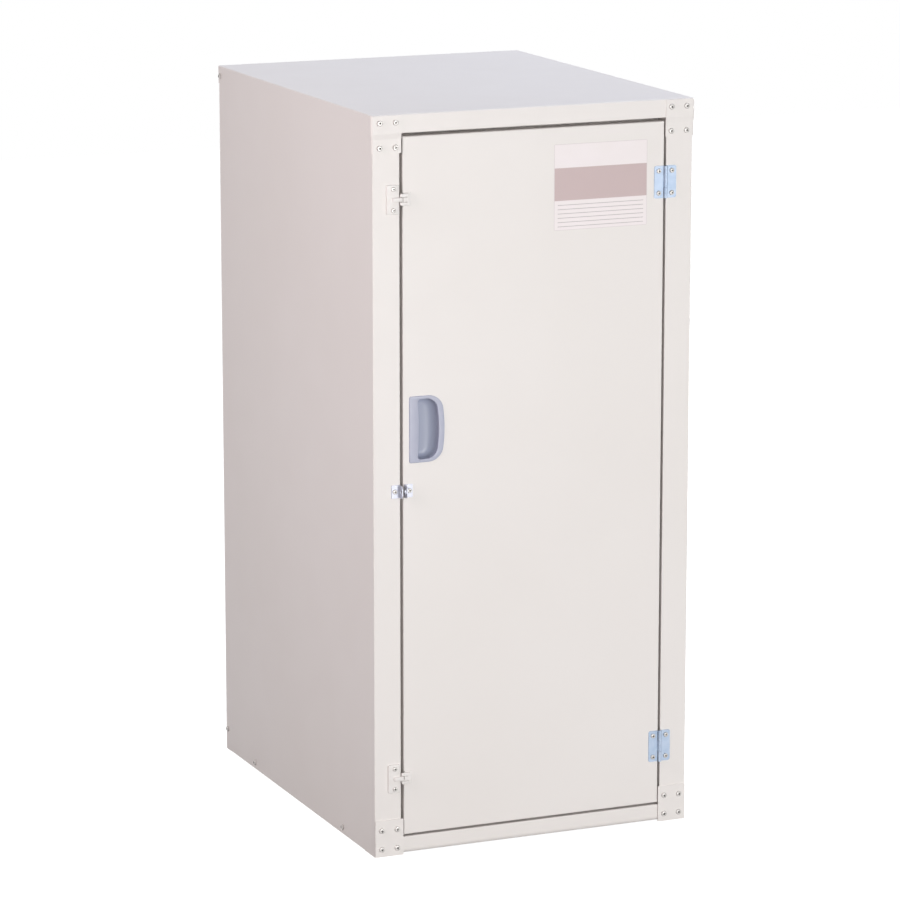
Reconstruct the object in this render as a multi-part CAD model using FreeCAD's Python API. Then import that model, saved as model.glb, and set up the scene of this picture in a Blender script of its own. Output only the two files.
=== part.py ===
import FreeCAD, Part
import math
import os

from FreeCAD import Vector

# Rice storage cabinet of painted folded steel, with one door hinged on the right.
# Millimetres. X runs to the right, Y to the back and Z up from the floor. While the pieces are
# made, X is 0 in the middle of the cabinet and Y is 0 on the face of the front posts.

# Cabinet
cabinet_w = 530.0
cabinet_d = 660.0
cabinet_h = 1150.0
side_t = 0.8
bend_r = 0.8
post_w = 44.0
stop_w = 12.0
back_return_w = 15.0
side_flange_w = 18.0
side_flange_inset_front = 42.0
side_flange_inset_back = 22.0
fold_leg = 6.0
corner_relief = 1.5

# Cap and back panel
cap_t = 1.0
cap_flange_h = 28.0
cap_edge_r = 2.0
back_t = 0.8
back_flange_d = 16.0

# Rails and floor
rail_t = 1.0
head_rail_drop = 29.0
rail_return_d = 13.0
rail_end_gap = 2.2
sill_h = 28.0
sill_clear = 1.0
sill_roll_r = 6.0
stop_lap_top = 14.0
stop_lap_bottom = 13.0
stop_end_gap = 0.2
floor_t = 1.0
floor_flange_h = 24.0
floor_edge_r = 2.0
bearer_t = 1.2
bearer_crown_w = 40.0
bearer_brim_w = 14.0
bearer_y = (134.0, 523.0)

# Door
door_gap_left = 4.4
door_gap_right = 3.6
door_gap_top = 4.8
door_gap_bottom = 3.6
door_t = 0.8
door_d = 25.0
door_edge_r = 1.8
door_lip_w = 14.0
liner_t = 0.6
liner_margin = 3.0
liner_rim_w = 26.0
liner_sink = 3.4
liner_draft = 6.0
liner_corner_r = 12.0
stiffener_t = 0.8
stiffener_crown_w = 36.0
stiffener_brim_w = 12.0
stiffener_end_gap = 30.0

# Door gasket
gasket_w = 7.0
gasket_t = 3.8
gasket_gap = 0.2
gasket_bevel = 1.6
gasket_inset = 0.5

# Corner plates: the top ones turn round the side, and the bottom ones are flat
plate_t = 1.6
top_plate_w = 46.0
bottom_plate_w = 47.0
bottom_plate_inset = 0.5
plate_h = 58.0
plate_leg = 12.0
plate_top_gap = 1.0
joggle_h = 8.0
joggle_gap = 0.5

# Pan-head screws: large ones for the cabinet, small ones for its fittings. So many repeat that
# their shanks, heads and holes are drawn with a few flat sides instead of round
screw_d = 5.0
screw_head_d = 9.0
screw_head_h = 2.6
screw_l = 10.0
small_screw_d = 4.0
small_screw_head_d = 7.6
small_screw_head_h = 2.2
small_screw_l = 8.0
shank_sides = 6
head_sides = 8
hole_slack = 0.2

# Places of the large screws, from the nearest edges
corner_screw_x = (11.0, 36.7)
corner_screw_top_z = (12.0, 49.5)
corner_screw_bottom_z = (12.0, 42.0)
base_screw_z = 11.4
back_screw_low = 7.5
back_screw_high = 16.5

# Hinges
hinge_from_floor = 124.5
hinge_from_top = 127.5
hinge_h = 50.0
leaf_w = 18.5
leaf_t = 1.2
leaf_corner_r = 3.0
knuckle_count = 3
knuckle_gap = 0.3
pin_r = 1.6
knuckle_wall = 1.2
pin_fit = 0.02
pin_running = 0.06
hinge_screw_x = 11.0
hinge_screw_z = 17.2
tapped_plate_t = 3.0
tapped_plate_w = 13.0

# Catches: a keeper with a rib on the post, and a fork on the door that grips the rib
catch_from_floor = 123.0
catch_from_top = 128.0
catch_top = 6.2
catch_bevel = 0.7
keeper_w = 20.5
keeper_h = 46.0
keeper_t = 3.0
keeper_overhang = 0.6
keeper_corner = 1.5
rib_l = 13.0
rib_h = 6.6
rib_reach = 2.2
rib_slack = 0.5
fork_w = 13.5
fork_h = 20.0
fork_t = 1.2
fork_edge_gap = 0.6
fork_corner = 1.2
fork_block_w = 8.0
fork_slot_l = 1.5
prong_reach = 6.5
prong_h = 5.0
catch_screw_x = 8.5
catch_screw_z = 16.0

# Padlock eyes, which sit below the pull
eye_drop = 42.0
eye_t = 1.6
eye_h = 20.0
eye_base_w = 14.0
eye_reach = 13.0
eye_tip_r = 6.0
eye_hole_r = 3.5
eye_hole_y = 7.4
eye_gap = 6.4
eye_screw_x = 8.8

# Flush pull
pull_edge_gap = 10.0
pull_z = 668.5
pull_w = 58.0
pull_h = 103.0
pull_bow_r = 222.0
pull_corner_r = 20.0
pull_back_corner_r = 3.0
pull_recess_corner_r = 5.0
pull_rim_t = 2.0
pull_rim_bevel = 1.2
pull_rim_left = 13.5
pull_rim_right = 9.5
pull_rim_ends = 5.0
pull_wall = 1.6
pull_shallow = 9.0
pull_deep = 17.5
pull_slope_w = 22.0
pull_hole_slack = 0.3
pull_lug_w = 14.0
pull_lug_h = 2.4
pull_lug_d = 5.0

# Planes and edges that several pieces share
left = -cabinet_w / 2
corner_r = bend_r + side_t
side_in = -left - side_t
post_edge = -left - post_w
cap_under = cabinet_h - cap_t
head_z = cabinet_h - head_rail_drop
stop_y = door_d + gasket_gap + gasket_t
stop_edge = post_edge - stop_w
rail_back = stop_y + rail_t
back_in = cabinet_d - side_t
door_left = -post_edge + door_gap_left
door_right = post_edge - door_gap_right
door_bottom = sill_h + door_gap_bottom
door_top = head_z - door_gap_top
door_skin_d = door_d - liner_t
liner_field_y = door_d - liner_t - liner_sink
knuckle_r = pin_r + knuckle_wall
pin_x = (door_right + post_edge) / 2
pin_y = -knuckle_r
hinge_z = (hinge_from_floor, cabinet_h - hinge_from_top)
catch_z = (catch_from_floor, cabinet_h - catch_from_top)
eye_z = pull_z - pull_h / 2 - eye_drop

DIRECTIONS = {
    "x": (Vector(0, 1, 0), Vector(0, 0, 1), Vector(1, 0, 0)),
    "y": (Vector(1, 0, 0), Vector(0, 0, 1), Vector(0, 1, 0)),
    "z": (Vector(1, 0, 0), Vector(0, 1, 0), Vector(0, 0, 1)),
}


def block(x0, x1, y0, y1, z0, z1):
    """Box between two corners."""
    return Part.makeBox(x1 - x0, y1 - y0, z1 - z0, Vector(x0, y0, z0))


def rounded_run(points, radii):
    """Straight runs joined by tangent arcs, with one radius for each inner point."""
    edges = []
    start = points[0]
    for i in range(1, len(points) - 1):
        before = (points[i - 1] - points[i]).normalize()
        after = (points[i + 1] - points[i]).normalize()
        half = before.getAngle(after) / 2
        r = radii[i - 1]
        first = points[i] + before * (r / math.tan(half))
        last = points[i] + after * (r / math.tan(half))
        middle = points[i] + (before + after).normalize() * (r / math.sin(half) - r)
        edges.append(Part.makeLine(start, first))
        if r:
            edges.append(Part.Arc(first, middle, last).toShape())
        start = last
    edges.append(Part.makeLine(start, points[-1]))
    return edges


def sheet_wire(path, t, inner_radii, along, at):
    """Closed outline of bent sheet. The path runs along one face, with the metal on its left."""
    across, up, axis = DIRECTIONS[along]
    near = [Vector(u, v, 0) for u, v in path]
    legs = [(b - a).normalize() for a, b in zip(near, near[1:])]
    normals = [Vector(-d.y, d.x, 0) for d in legs]
    far = [near[0] + normals[0] * t]
    near_radii = []
    far_radii = []
    for i, r in enumerate(inner_radii):
        n = normals[i] + normals[i + 1]
        far.append(near[i + 1] + n * (t / (1 + normals[i].dot(normals[i + 1]))))
        turns_left = legs[i].cross(legs[i + 1]).z > 0
        outer = r + t if r else 0
        near_radii.append(outer if turns_left else r)
        far_radii.append(r if turns_left else outer)
    far.append(near[-1] + normals[-1] * t)
    near = [across * p.x + up * p.y + axis * at for p in near]
    far = [across * p.x + up * p.y + axis * at for p in far]
    edges = rounded_run(near, near_radii)
    edges.append(Part.makeLine(near[-1], far[-1]))
    edges += rounded_run(far[::-1], far_radii[::-1])
    edges.append(Part.makeLine(far[0], near[0]))
    return Part.Wire(edges)


def folded(along, start, end, path, t, inner_radii=None):
    """Sheet bent along a path and drawn out from start to end. A radius of 0 is a sharp fold."""
    radii = inner_radii or [bend_r] * (len(path) - 2)
    wire = sheet_wire(path, t, radii, along, start)
    return Part.Face(wire).extrude(DIRECTIONS[along][2] * (end - start))


def picked(shape, chosen):
    """Edges that the test picks by their middle and direction."""
    edges = []
    for e in shape.Edges:
        half = (e.FirstParameter + e.LastParameter) / 2
        if chosen(e.valueAt(half), e.tangentAt(half)):
            edges.append(e)
    return edges


def fillet(shape, r, chosen):
    """Round the picked edges."""
    return shape.makeFillet(r, picked(shape, chosen))


def pan(box, t, r, open_side):
    """Tray of thin sheet, open on one side such as -z. Its walls meet at rounded corners."""
    axis = "xyz".index(open_side[1])
    closed = 2 * axis + (open_side[0] == "-")
    sign = 1 if open_side[0] == "-" else -1
    outer = block(*box)
    corners = fillet(outer, r, lambda m, w: abs(w[axis]) > 0.99)
    outer = fillet(outer, r, lambda m, w: abs(m[axis] - box[closed]) < 0.01)
    inside = [c + t if i % 2 == 0 else c - t for i, c in enumerate(box)]
    inside[closed - sign] = box[closed - sign] - sign * t
    return outer.common(corners).cut(block(*inside))


def cylinder(r, base, direction, length):
    """Round bar from a point along a direction."""
    return Part.makeCylinder(r, length, base, direction)


def flat_sided(r, sides, z0, z1):
    """Bar along Z with a regular outline, its corners at the radius."""
    turns = [math.tau * i / sides for i in range(sides + 1)]
    points = [Vector(r * math.cos(a), r * math.sin(a), z0) for a in turns]
    return Part.Face(Part.makePolygon(points)).extrude(Vector(0, 0, z1 - z0))


def drill(shape, points, direction, d):
    """Screw holes right through the sheets that each point lies in front of."""
    reach = 2 * screw_l
    r = (d / 2 + hole_slack) / math.cos(math.pi / shank_sides)
    for p in points:
        hole = flat_sided(r, shank_sides, -reach, reach)
        hole.Placement = FreeCAD.Placement(p, FreeCAD.Rotation(Vector(0, 0, -1), direction))
        shape = shape.cut(hole)
    return shape


def pan_screw(under_head, into, d, head_d, head_h, length):
    """Screw with a bevelled pan head. The head's flat underside is at the point given."""
    head = flat_sided(head_d / 2, head_sides, 0, head_h)
    head = head.makeChamfer(head_h * 0.55, picked(head, lambda m, w: m.z > head_h * 0.9))
    screw = head.fuse(flat_sided(d / 2, shank_sides, -length, 0)).removeSplitter()
    screw.Placement = FreeCAD.Placement(under_head, FreeCAD.Rotation(Vector(0, 0, -1), into))
    return screw


def mirrored(shape, x=0.0):
    """The same piece on the other side of a plane across the cabinet."""
    return shape.mirror(Vector(x, 0, 0), Vector(1, 0, 0))


def group(shapes):
    """Like pieces kept as separate solids of one node."""
    return Part.makeCompound(shapes)


BACK = Vector(0, 1, 0)
RIGHT = Vector(1, 0, 0)


# Where the large screws sit, on the left side
top_corner_points = [
    Vector(left + x, 0, cabinet_h - z) for x in corner_screw_x for z in corner_screw_top_z
]
bottom_corner_points = [
    Vector(left + x, 0, z) for x in corner_screw_x for z in corner_screw_bottom_z
]
base_points = [Vector(left, y, base_screw_z) for y in bearer_y]
back_screw_y = back_in - back_flange_d / 2
back_low_point = Vector(left, back_screw_y, sill_h + back_screw_low)
back_high_point = Vector(left, back_screw_y, cabinet_h - back_screw_high)
back_points = [back_low_point, back_high_point]

# Where the small screws sit: in the catches' keepers on the left post, and in the padlock eyes,
# which face each other across the gap beside the door
keeper_right = -post_edge + keeper_overhang
keeper_left = keeper_right - keeper_w
catch_points = [
    Vector(keeper_left + catch_screw_x, 0, z + s * catch_screw_z) for z in catch_z for s in (-1, 1)
]
gap_x = (door_left - post_edge) / 2
post_eye_x = gap_x - eye_gap / 2
post_eye_point = Vector(post_eye_x - eye_screw_x, 0, eye_z)
door_eye_point = Vector(2 * gap_x - post_eye_point.x, 0, eye_z)


def hinge_points(heights, side):
    """Places of the hinge screws at those heights, on the frame's side of the pin or the door's."""
    x = pin_x + side * hinge_screw_x
    return [Vector(x, 0, z + s * hinge_screw_z) for z in heights for s in (-1, 1)]


def make_side_panel():
    """Left side, folded at the front into post, jamb and door stop, and returned at the back."""
    plan = [
        (left + back_return_w, cabinet_d),
        (left, cabinet_d),
        (left, 0),
        (-post_edge, 0),
        (-post_edge, stop_y),
        (-stop_edge, stop_y),
    ]
    top = cap_under - corner_relief
    panel = folded("z", 0, top, plan, side_t)
    # The jamb and stop are notched above the head rail and below the sill
    notch_x = -post_edge - corner_r
    for z0, z1 in ((head_z, cabinet_h), (0, sill_h)):
        notch = block(notch_x, 0, -side_t, stop_y + 2 * side_t, z0, z1)
        panel = panel.cut(notch)
    # Flanges along the top and along the floor
    y0 = side_flange_inset_front
    y1 = cabinet_d - side_flange_inset_back
    tip = left + side_flange_w
    low = cap_under - fold_leg
    for z0, z1, path in (
        (low, cap_under, [(tip, cap_under), (left, cap_under), (left, low)]),
        (0, fold_leg, [(left, fold_leg), (left, 0), (tip, 0)]),
    ):
        panel = panel.cut(block(left - 1, left + 2 * side_t, y0, y1, z0, z1))
        panel = panel.fuse(folded("y", y0, y1, path, side_t))
    panel = panel.removeSplitter()
    panel = drill(panel, top_corner_points + bottom_corner_points, BACK, screw_d)
    return drill(panel, base_points + back_points, RIGHT, screw_d)


def drill_posts(left_panel):
    """Both side panels, with the small holes that only one of them has."""
    right_panel = drill(mirrored(left_panel), hinge_points(hinge_z, 1), BACK, small_screw_d)
    left_panel = drill(left_panel, catch_points + [post_eye_point], BACK, small_screw_d)
    return left_panel, right_panel


def make_cap():
    """Top sheet with its four edges turned down over the panels."""
    box = (left - cap_t, -left + cap_t, -cap_t, cabinet_d + cap_t, cabinet_h - cap_flange_h, cabinet_h)
    cap = pan(box, cap_t, cap_edge_r, "-z")
    fronts = [p for p in top_corner_points if p.z > cabinet_h - cap_flange_h]
    rights = [Vector(-p.x, p.y, p.z) for p in fronts]
    cap = drill(cap, fronts + rights, BACK, screw_d)
    return drill(cap, [back_high_point, Vector(-left, back_screw_y, back_high_point.z)], RIGHT, screw_d)


def make_back_panel():
    """Tray between the sides, held by screws through its forward flanges."""
    box = (-side_in, side_in, back_in - back_flange_d, back_in, sill_h, cap_under)
    panel = pan(box, back_t, corner_r, "-y")
    points = back_points + [Vector(-p.x, p.y, p.z) for p in back_points]
    return drill(panel, points, RIGHT, screw_d)


def make_head_rail():
    """Rail behind the cap's front edge, with the door stop hanging from it."""
    half = side_in - rail_end_gap
    section = [
        (side_t + rail_return_d, cap_under),
        (side_t, cap_under),
        (side_t, head_z),
        (stop_y, head_z),
        (stop_y, head_z - stop_lap_top),
    ]
    rail = folded("x", -half, half, section, rail_t)
    end = stop_edge - stop_end_gap
    for x0, x1 in ((-half - 1, -end), (end, half + 1)):
        rail = rail.cut(block(x0, x1, 0, 2 * stop_y, head_z - 2 * stop_lap_top, head_z))
    points = top_corner_points + [Vector(-p.x, p.y, p.z) for p in top_corner_points]
    return drill(rail, [p for p in points if p.z > head_z], BACK, screw_d)


def make_bottom_rail():
    """Rail under the door: door stop, sill, front web and a rolled lower edge."""
    half = side_in - rail_end_gap
    section = [
        (stop_y, sill_h + stop_lap_bottom),
        (stop_y, sill_h),
        (side_t, sill_h),
        (side_t, sill_clear),
        (side_t + rail_return_d, sill_clear),
    ]
    rail = folded("x", -half, half, section, rail_t, [bend_r, bend_r, sill_roll_r])
    end = stop_edge - stop_end_gap
    for x0, x1 in ((-half - 1, -end), (end, half + 1)):
        rail = rail.cut(block(x0, x1, 0, 2 * stop_y, sill_h, sill_h + 2 * stop_lap_bottom))
    points = bottom_corner_points + [Vector(-p.x, p.y, p.z) for p in bottom_corner_points]
    return drill(rail, [p for p in points if p.z < sill_h], BACK, screw_d)


def make_floor():
    """Floor tray with its edges turned down, screwed through the sides into the bearers."""
    box = (-side_in, side_in, rail_back, back_in, sill_h - floor_flange_h, sill_h)
    floor = pan(box, floor_t, floor_edge_r, "-z")
    return drill(floor, base_points + [Vector(-p.x, p.y, p.z) for p in base_points], RIGHT, screw_d)


def make_bearer(y):
    """Top-hat bearer that stands on the sides' lower flanges and carries the floor."""
    half = side_in - floor_t
    wall = bearer_crown_w / 2
    brim = wall + bearer_brim_w
    under = sill_h - floor_t - bearer_t
    section = [
        (y - brim, side_t),
        (y - wall, side_t),
        (y - wall, under),
        (y + wall, under),
        (y + wall, side_t),
        (y + brim, side_t),
    ]
    bearer = folded("x", -half, half, section, bearer_t, [0] * 4)
    for x in (-half, half - bearer_t):
        tab = block(x, x + bearer_t, y - wall, y + wall, side_t + bearer_t, under)
        bearer = bearer.fuse(tab)
    ends = [Vector(sx * half, y, base_screw_z) for sx in (-1, 1)]
    return drill(bearer.removeSplitter(), ends, RIGHT, screw_d)


def corner_plan(out, r, z):
    """Outline of the top left plate in plan, standing out from the post by the step given."""
    path = [(left + top_plate_w, -out), (left - out, -out), (left - out, plate_leg)]
    return sheet_wire(path, plate_t, [r], "z", z)


def make_top_plate():
    """Top left corner plate, turned round the side. It steps out over the cap's turned edge."""
    up = Vector(0, 0, 1)
    low = cabinet_h - plate_h
    step = cabinet_h - cap_flange_h - joggle_gap
    lower = Part.Face(corner_plan(0, corner_r, low)).extrude(up * (step - joggle_h - low))
    joggle = Part.makeLoft(
        [corner_plan(0, corner_r, step - joggle_h), corner_plan(cap_t, cap_edge_r, step)], True, True
    )
    high = cabinet_h - plate_top_gap
    upper = Part.Face(corner_plan(cap_t, cap_edge_r, step)).extrude(up * (high - step))
    plate = lower.fuse([joggle, upper]).removeSplitter()
    return drill(plate, top_corner_points, BACK, screw_d)


def make_bottom_plate():
    """Bottom left corner plate, flat on the post."""
    plate = block(left + bottom_plate_inset, left + bottom_plate_w, -plate_t, 0, 0, plate_h)
    return drill(plate, bottom_corner_points, BACK, screw_d)


def make_cabinet_screws():
    """All large screws. Those near the top go through the cap's turned edge as well."""
    places = [(p, BACK, plate_t) for p in top_corner_points + bottom_corner_points]
    places += [(p, RIGHT, 0) for p in base_points + back_points]
    screws = []
    for p, into, plate in places:
        cap = cap_t if p.z > cabinet_h - cap_flange_h else 0
        at = p - into * (plate + cap)
        screw = pan_screw(at, into, screw_d, screw_head_d, screw_head_h, screw_l)
        screws += [screw, mirrored(screw)]
    return group(screws)


def small_screws(points, t):
    """Small screws at those places, with their heads on a fitting of thickness t."""
    sizes = (small_screw_d, small_screw_head_d, small_screw_head_h, small_screw_l)
    return [pan_screw(p - BACK * t, BACK, *sizes) for p in points]


def make_gasket():
    """Rubber strip round the opening, on the front of the door stop."""
    outer = stop_edge + gasket_inset + gasket_w
    z0 = sill_h + stop_lap_bottom - gasket_inset - gasket_w
    z1 = head_z - stop_lap_top + gasket_inset + gasket_w
    front = stop_y - gasket_t
    ring = block(-outer, outer, front, stop_y, z0, z1)
    inner = outer - gasket_w
    ring = ring.cut(block(-inner, inner, front - 1, stop_y + 1, z0 + gasket_w, z1 - gasket_w))
    return ring.makeChamfer(gasket_bevel, picked(ring, lambda m, w: abs(m.y - front) < 0.01))


def make_door_skin():
    """Outer door sheet: front, four turned edges and lips at the back."""
    t = door_t
    outer = block(door_left, door_right, 0, door_skin_d, door_bottom, door_top)
    outer = fillet(outer, door_edge_r, lambda m, w: abs(w.y) < 0.01)
    inner = block(door_left + t, door_right - t, t, door_skin_d - t, door_bottom + t, door_top - t)
    lip = door_lip_w
    window = block(
        door_left + lip, door_right - lip, door_skin_d - 2 * t, door_d, door_bottom + lip, door_top - lip
    )
    skin = outer.cut(inner).cut(window)
    skin = skin.cut(pull_prism(pull_wall + pull_hole_slack, -t, 2 * t, True))
    return drill(skin, hinge_points(hinge_z, -1) + [door_eye_point], BACK, small_screw_d)


def rectangle(inset, y):
    """Round-cornered rectangle inside the door's outline."""
    x0 = door_left + inset
    x1 = door_right - inset
    z0 = door_bottom + inset
    z1 = door_top - inset
    middle = (x0 + x1) / 2
    points = [
        Vector(middle, y, z0),
        Vector(x1, y, z0),
        Vector(x1, y, z1),
        Vector(x0, y, z1),
        Vector(x0, y, z0),
        Vector(middle, y, z0),
    ]
    return Part.Wire(rounded_run(points, [liner_corner_r] * 4))


def make_liner():
    """Inner door sheet on the skin's lips, its middle pressed in to stiffen it."""
    rim = block(
        door_left + liner_margin,
        door_right - liner_margin,
        door_skin_d,
        door_d,
        door_bottom + liner_margin,
        door_top - liner_margin,
    )
    field = liner_rim_w + liner_draft
    dish = Part.makeLoft([rectangle(liner_rim_w, door_skin_d), rectangle(field, liner_field_y)], True, True)
    slope = liner_draft / liner_sink
    hollow = Part.makeLoft(
        [
            rectangle(liner_rim_w + liner_t - slope * liner_t, door_d + liner_t),
            rectangle(field + liner_t, liner_field_y + liner_t),
        ],
        True,
        True,
    )
    return rim.fuse(dish).cut(hollow).removeSplitter()


def make_stiffener():
    """Top-hat strip down the middle of the door, between skin and liner."""
    middle = (door_left + door_right) / 2
    wall = stiffener_crown_w / 2
    brim = wall + stiffener_brim_w
    crown = liner_field_y - stiffener_t
    section = [
        (middle - brim, door_t),
        (middle - wall, door_t),
        (middle - wall, crown),
        (middle + wall, crown),
        (middle + wall, door_t),
        (middle + brim, door_t),
    ]
    z0 = door_bottom + stiffener_end_gap
    z1 = door_top - stiffener_end_gap
    return folded("z", z0, z1, section, stiffener_t, [0] * 4)


def pull_outline(inset_left, inset_right, inset_ends):
    """Face of the pull's outline: straight towards the door's edge, bowed away from it."""
    x0 = door_left + pull_edge_gap + inset_left
    bow = door_left + pull_edge_gap + pull_w - inset_right
    half = pull_h / 2 - inset_ends
    r = pull_bow_r - inset_right
    x1 = bow - (r - math.sqrt(r * r - half * half))
    low = Vector(x1, 0, pull_z - half)
    high = Vector(x1, 0, pull_z + half)
    edges = [
        Part.makeLine(Vector(x0, 0, pull_z + half), Vector(x0, 0, pull_z - half)),
        Part.makeLine(Vector(x0, 0, pull_z - half), low),
        Part.Arc(low, Vector(bow, 0, pull_z), high).toShape(),
        Part.makeLine(high, Vector(x0, 0, pull_z + half)),
    ]
    return Part.Face(Part.Wire(edges))


def pull_prism(grow, y0, y1, recess=False):
    """The pull's outline, or its recess's, made bigger by a margin and drawn from y0 to y1."""
    insets = (pull_rim_left, pull_rim_right, pull_rim_ends) if recess else (0, 0, 0)
    face = pull_outline(*[i - grow for i in insets])
    face.translate(Vector(0, y0, 0))
    prism = face.extrude(Vector(0, y1 - y0, 0))
    middle_x = door_left + pull_edge_gap + pull_w / 2
    big = pull_corner_r - (pull_rim_ends if recess else 0) + grow
    small = (pull_recess_corner_r if recess else pull_back_corner_r) + grow
    prism = fillet(prism, big, lambda m, w: abs(w.y) > 0.99 and m.x > middle_x)
    return fillet(prism, small, lambda m, w: abs(w.y) > 0.99 and m.x < middle_x)


def pull_scoop(grow):
    """Depth of the finger recess in plan, shallow by the door's edge and deep beyond."""
    x0 = door_left + pull_edge_gap + pull_rim_left
    x1 = door_left + pull_edge_gap + pull_w
    front = -2 * pull_rim_t
    points = [
        Vector(x0 - pull_rim_left, front, 0),
        Vector(x1, front, 0),
        Vector(x1, pull_deep + grow, 0),
        Vector(x0 + pull_slope_w, pull_deep + grow, 0),
        Vector(x0, pull_shallow + grow, 0),
        Vector(x0 - pull_rim_left, pull_shallow + grow, 0),
    ]
    profile = Part.Wire([Part.makeLine(a, b) for a, b in zip(points, points[1:] + points[:1])])
    profile.translate(Vector(0, 0, pull_z - pull_h))
    return Part.Face(profile).extrude(Vector(0, 0, 2 * pull_h))


def make_pull():
    """Moulded D-shaped pull: a rim on the door's face and a cup behind it."""
    rim = pull_prism(0, -pull_rim_t, 0)
    front = picked(rim, lambda m, w: abs(m.y + pull_rim_t) < 0.01)
    rim = rim.makeChamfer(pull_rim_bevel, front)
    cup = pull_prism(pull_wall, -pull_rim_t / 2, 2 * pull_deep, True).common(pull_scoop(pull_wall))
    hollow = pull_prism(0, -2 * pull_rim_t, 2 * pull_deep, True).common(pull_scoop(0))
    pull = rim.fuse(cup)
    # Snap lugs that grip the back of the door sheet above and below the cup
    x0 = door_left + pull_edge_gap + pull_rim_left
    lug_x = x0 + (pull_w - pull_rim_left - pull_rim_right - pull_lug_w) / 2
    half = pull_h / 2 - pull_rim_ends
    for s in (-1, 1):
        wall = pull_z + s * half
        tip = wall + s * (pull_wall + pull_lug_h)
        points = [
            Vector(lug_x, door_t, wall),
            Vector(lug_x, door_t, tip),
            Vector(lug_x, door_t + pull_lug_d, wall + s * pull_wall),
            Vector(lug_x, door_t + pull_lug_d, wall),
        ]
        edges = [Part.makeLine(a, b) for a, b in zip(points, points[1:] + points[:1])]
        pull = pull.fuse(Part.Face(Part.Wire(edges)).extrude(Vector(pull_lug_w, 0, 0)))
    return pull.cut(hollow).removeSplitter()


def make_leaf(z, side):
    """Hinge leaf on one side of the pin: the frame leaf has the outer knuckles."""
    z0 = z - hinge_h / 2
    row = hinge_h / knuckle_count
    clear = pin_x + side * (knuckle_r + knuckle_gap)
    tip = pin_x + side * leaf_w
    plate = block(min(clear, tip), max(clear, tip), -leaf_t, 0, z0, z0 + hinge_h)
    plate = fillet(plate, leaf_corner_r, lambda m, w: abs(w.y) > 0.99 and abs(m.x - tip) < 0.01)
    own = 0 if side > 0 else 1
    pieces = []
    for k in range(own, knuckle_count, 2):
        low = z0 + k * row + (knuckle_gap / 2 if k else 0)
        high = z0 + (k + 1) * row - (knuckle_gap / 2 if k < knuckle_count - 1 else 0)
        pieces.append(block(min(pin_x, clear), max(pin_x, clear), -leaf_t, 0, low, high))
        pieces.append(cylinder(knuckle_r, Vector(pin_x, pin_y, low), Vector(0, 0, 1), high - low))
    leaf = plate.fuse(pieces).removeSplitter()
    fit = pin_fit if side > 0 else pin_running
    bore = cylinder(pin_r + fit, Vector(pin_x, pin_y, z0 - 1), Vector(0, 0, 1), hinge_h + 2)
    leaf = leaf.cut(bore)
    return drill(leaf, hinge_points([z], side), BACK, small_screw_d)


def make_pin(z):
    """Hinge pin, level with the outer knuckles' ends."""
    return cylinder(pin_r, Vector(pin_x, pin_y, z - hinge_h / 2), Vector(0, 0, 1), hinge_h)


def make_tapped_plate(z, side):
    """Thick plate behind the sheet that the hinge screws bite into."""
    middle = pin_x + side * hinge_screw_x
    y0 = side_t if side > 0 else door_t
    half = tapped_plate_w / 2
    z0 = z - hinge_h / 2
    plate = block(middle - half, middle + half, y0, y0 + tapped_plate_t, z0, z0 + hinge_h)
    return drill(plate, hinge_points([z], side), BACK, small_screw_d)


def raised_block(x0, x1, z0, z1, foot, top):
    """Moulded block from one height over the door's face to another, bevelled at the front."""
    shape = block(x0, x1, -top, -foot, z0, z1)
    return shape.makeChamfer(catch_bevel, picked(shape, lambda m, w: abs(m.y + top) < 0.01))


def make_keeper(z):
    """Catch plate on the post, with a rib that reaches out over the gap."""
    half = keeper_h / 2
    plate = block(keeper_left, keeper_right, -keeper_t, 0, z - half, z + half)
    plate = plate.makeChamfer(keeper_corner, picked(plate, lambda m, w: abs(w.y) > 0.99))
    tip = keeper_right + rib_reach
    rib = raised_block(tip - rib_l, tip, z - rib_h / 2, z + rib_h / 2, keeper_t / 2, catch_top)
    keeper = plate.fuse(rib).removeSplitter()
    return drill(keeper, [p for p in catch_points if abs(p.z - z) < half], BACK, small_screw_d)


def make_fork(z):
    """Catch plate on the door, with two prongs that close over the keeper's rib from both sides."""
    x0 = door_left + fork_edge_gap
    half = fork_h / 2
    plate = block(x0, x0 + fork_w, -fork_t, 0, z - half, z + half)
    plate = plate.makeChamfer(fork_corner, picked(plate, lambda m, w: abs(w.y) > 0.99))
    inner = rib_h / 2 + rib_slack
    outer = inner + prong_h
    prong_foot = keeper_t + rib_slack
    pieces = []
    for low in (z - outer, z + inner):
        end = x0 + fork_block_w
        pieces.append(raised_block(x0 - prong_reach, end, low, low + prong_h, prong_foot, catch_top))
    # The body ends in a short tongue of the rib's height that faces it, with a slot on each side
    slot_end = x0 + fork_slot_l
    pieces.append(raised_block(slot_end, x0 + fork_block_w, z - outer, z + outer, fork_t / 2, catch_top))
    tongue_end = keeper_right + rib_reach + rib_slack
    tongue_half = rib_h / 2
    pieces.append(raised_block(tongue_end, end, z - tongue_half, z + tongue_half, prong_foot, catch_top))
    return plate.fuse(pieces).removeSplitter()


def make_post_eye():
    """Bent strip screwed to the post, with a hole for the shackle in its standing ear."""
    path = [(post_eye_x, -eye_reach), (post_eye_x, 0), (post_eye_x - eye_base_w, 0)]
    eye = folded("z", eye_z - eye_h / 2, eye_z + eye_h / 2, path, eye_t)
    eye = fillet(eye, eye_tip_r, lambda m, w: abs(w.x) > 0.99 and abs(m.y + eye_reach) < 0.01)
    hole = Vector(post_eye_x - 2 * eye_t, -eye_hole_y, eye_z)
    eye = eye.cut(cylinder(eye_hole_r, hole, RIGHT, 3 * eye_t))
    return drill(eye, [post_eye_point], BACK, small_screw_d)


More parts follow.
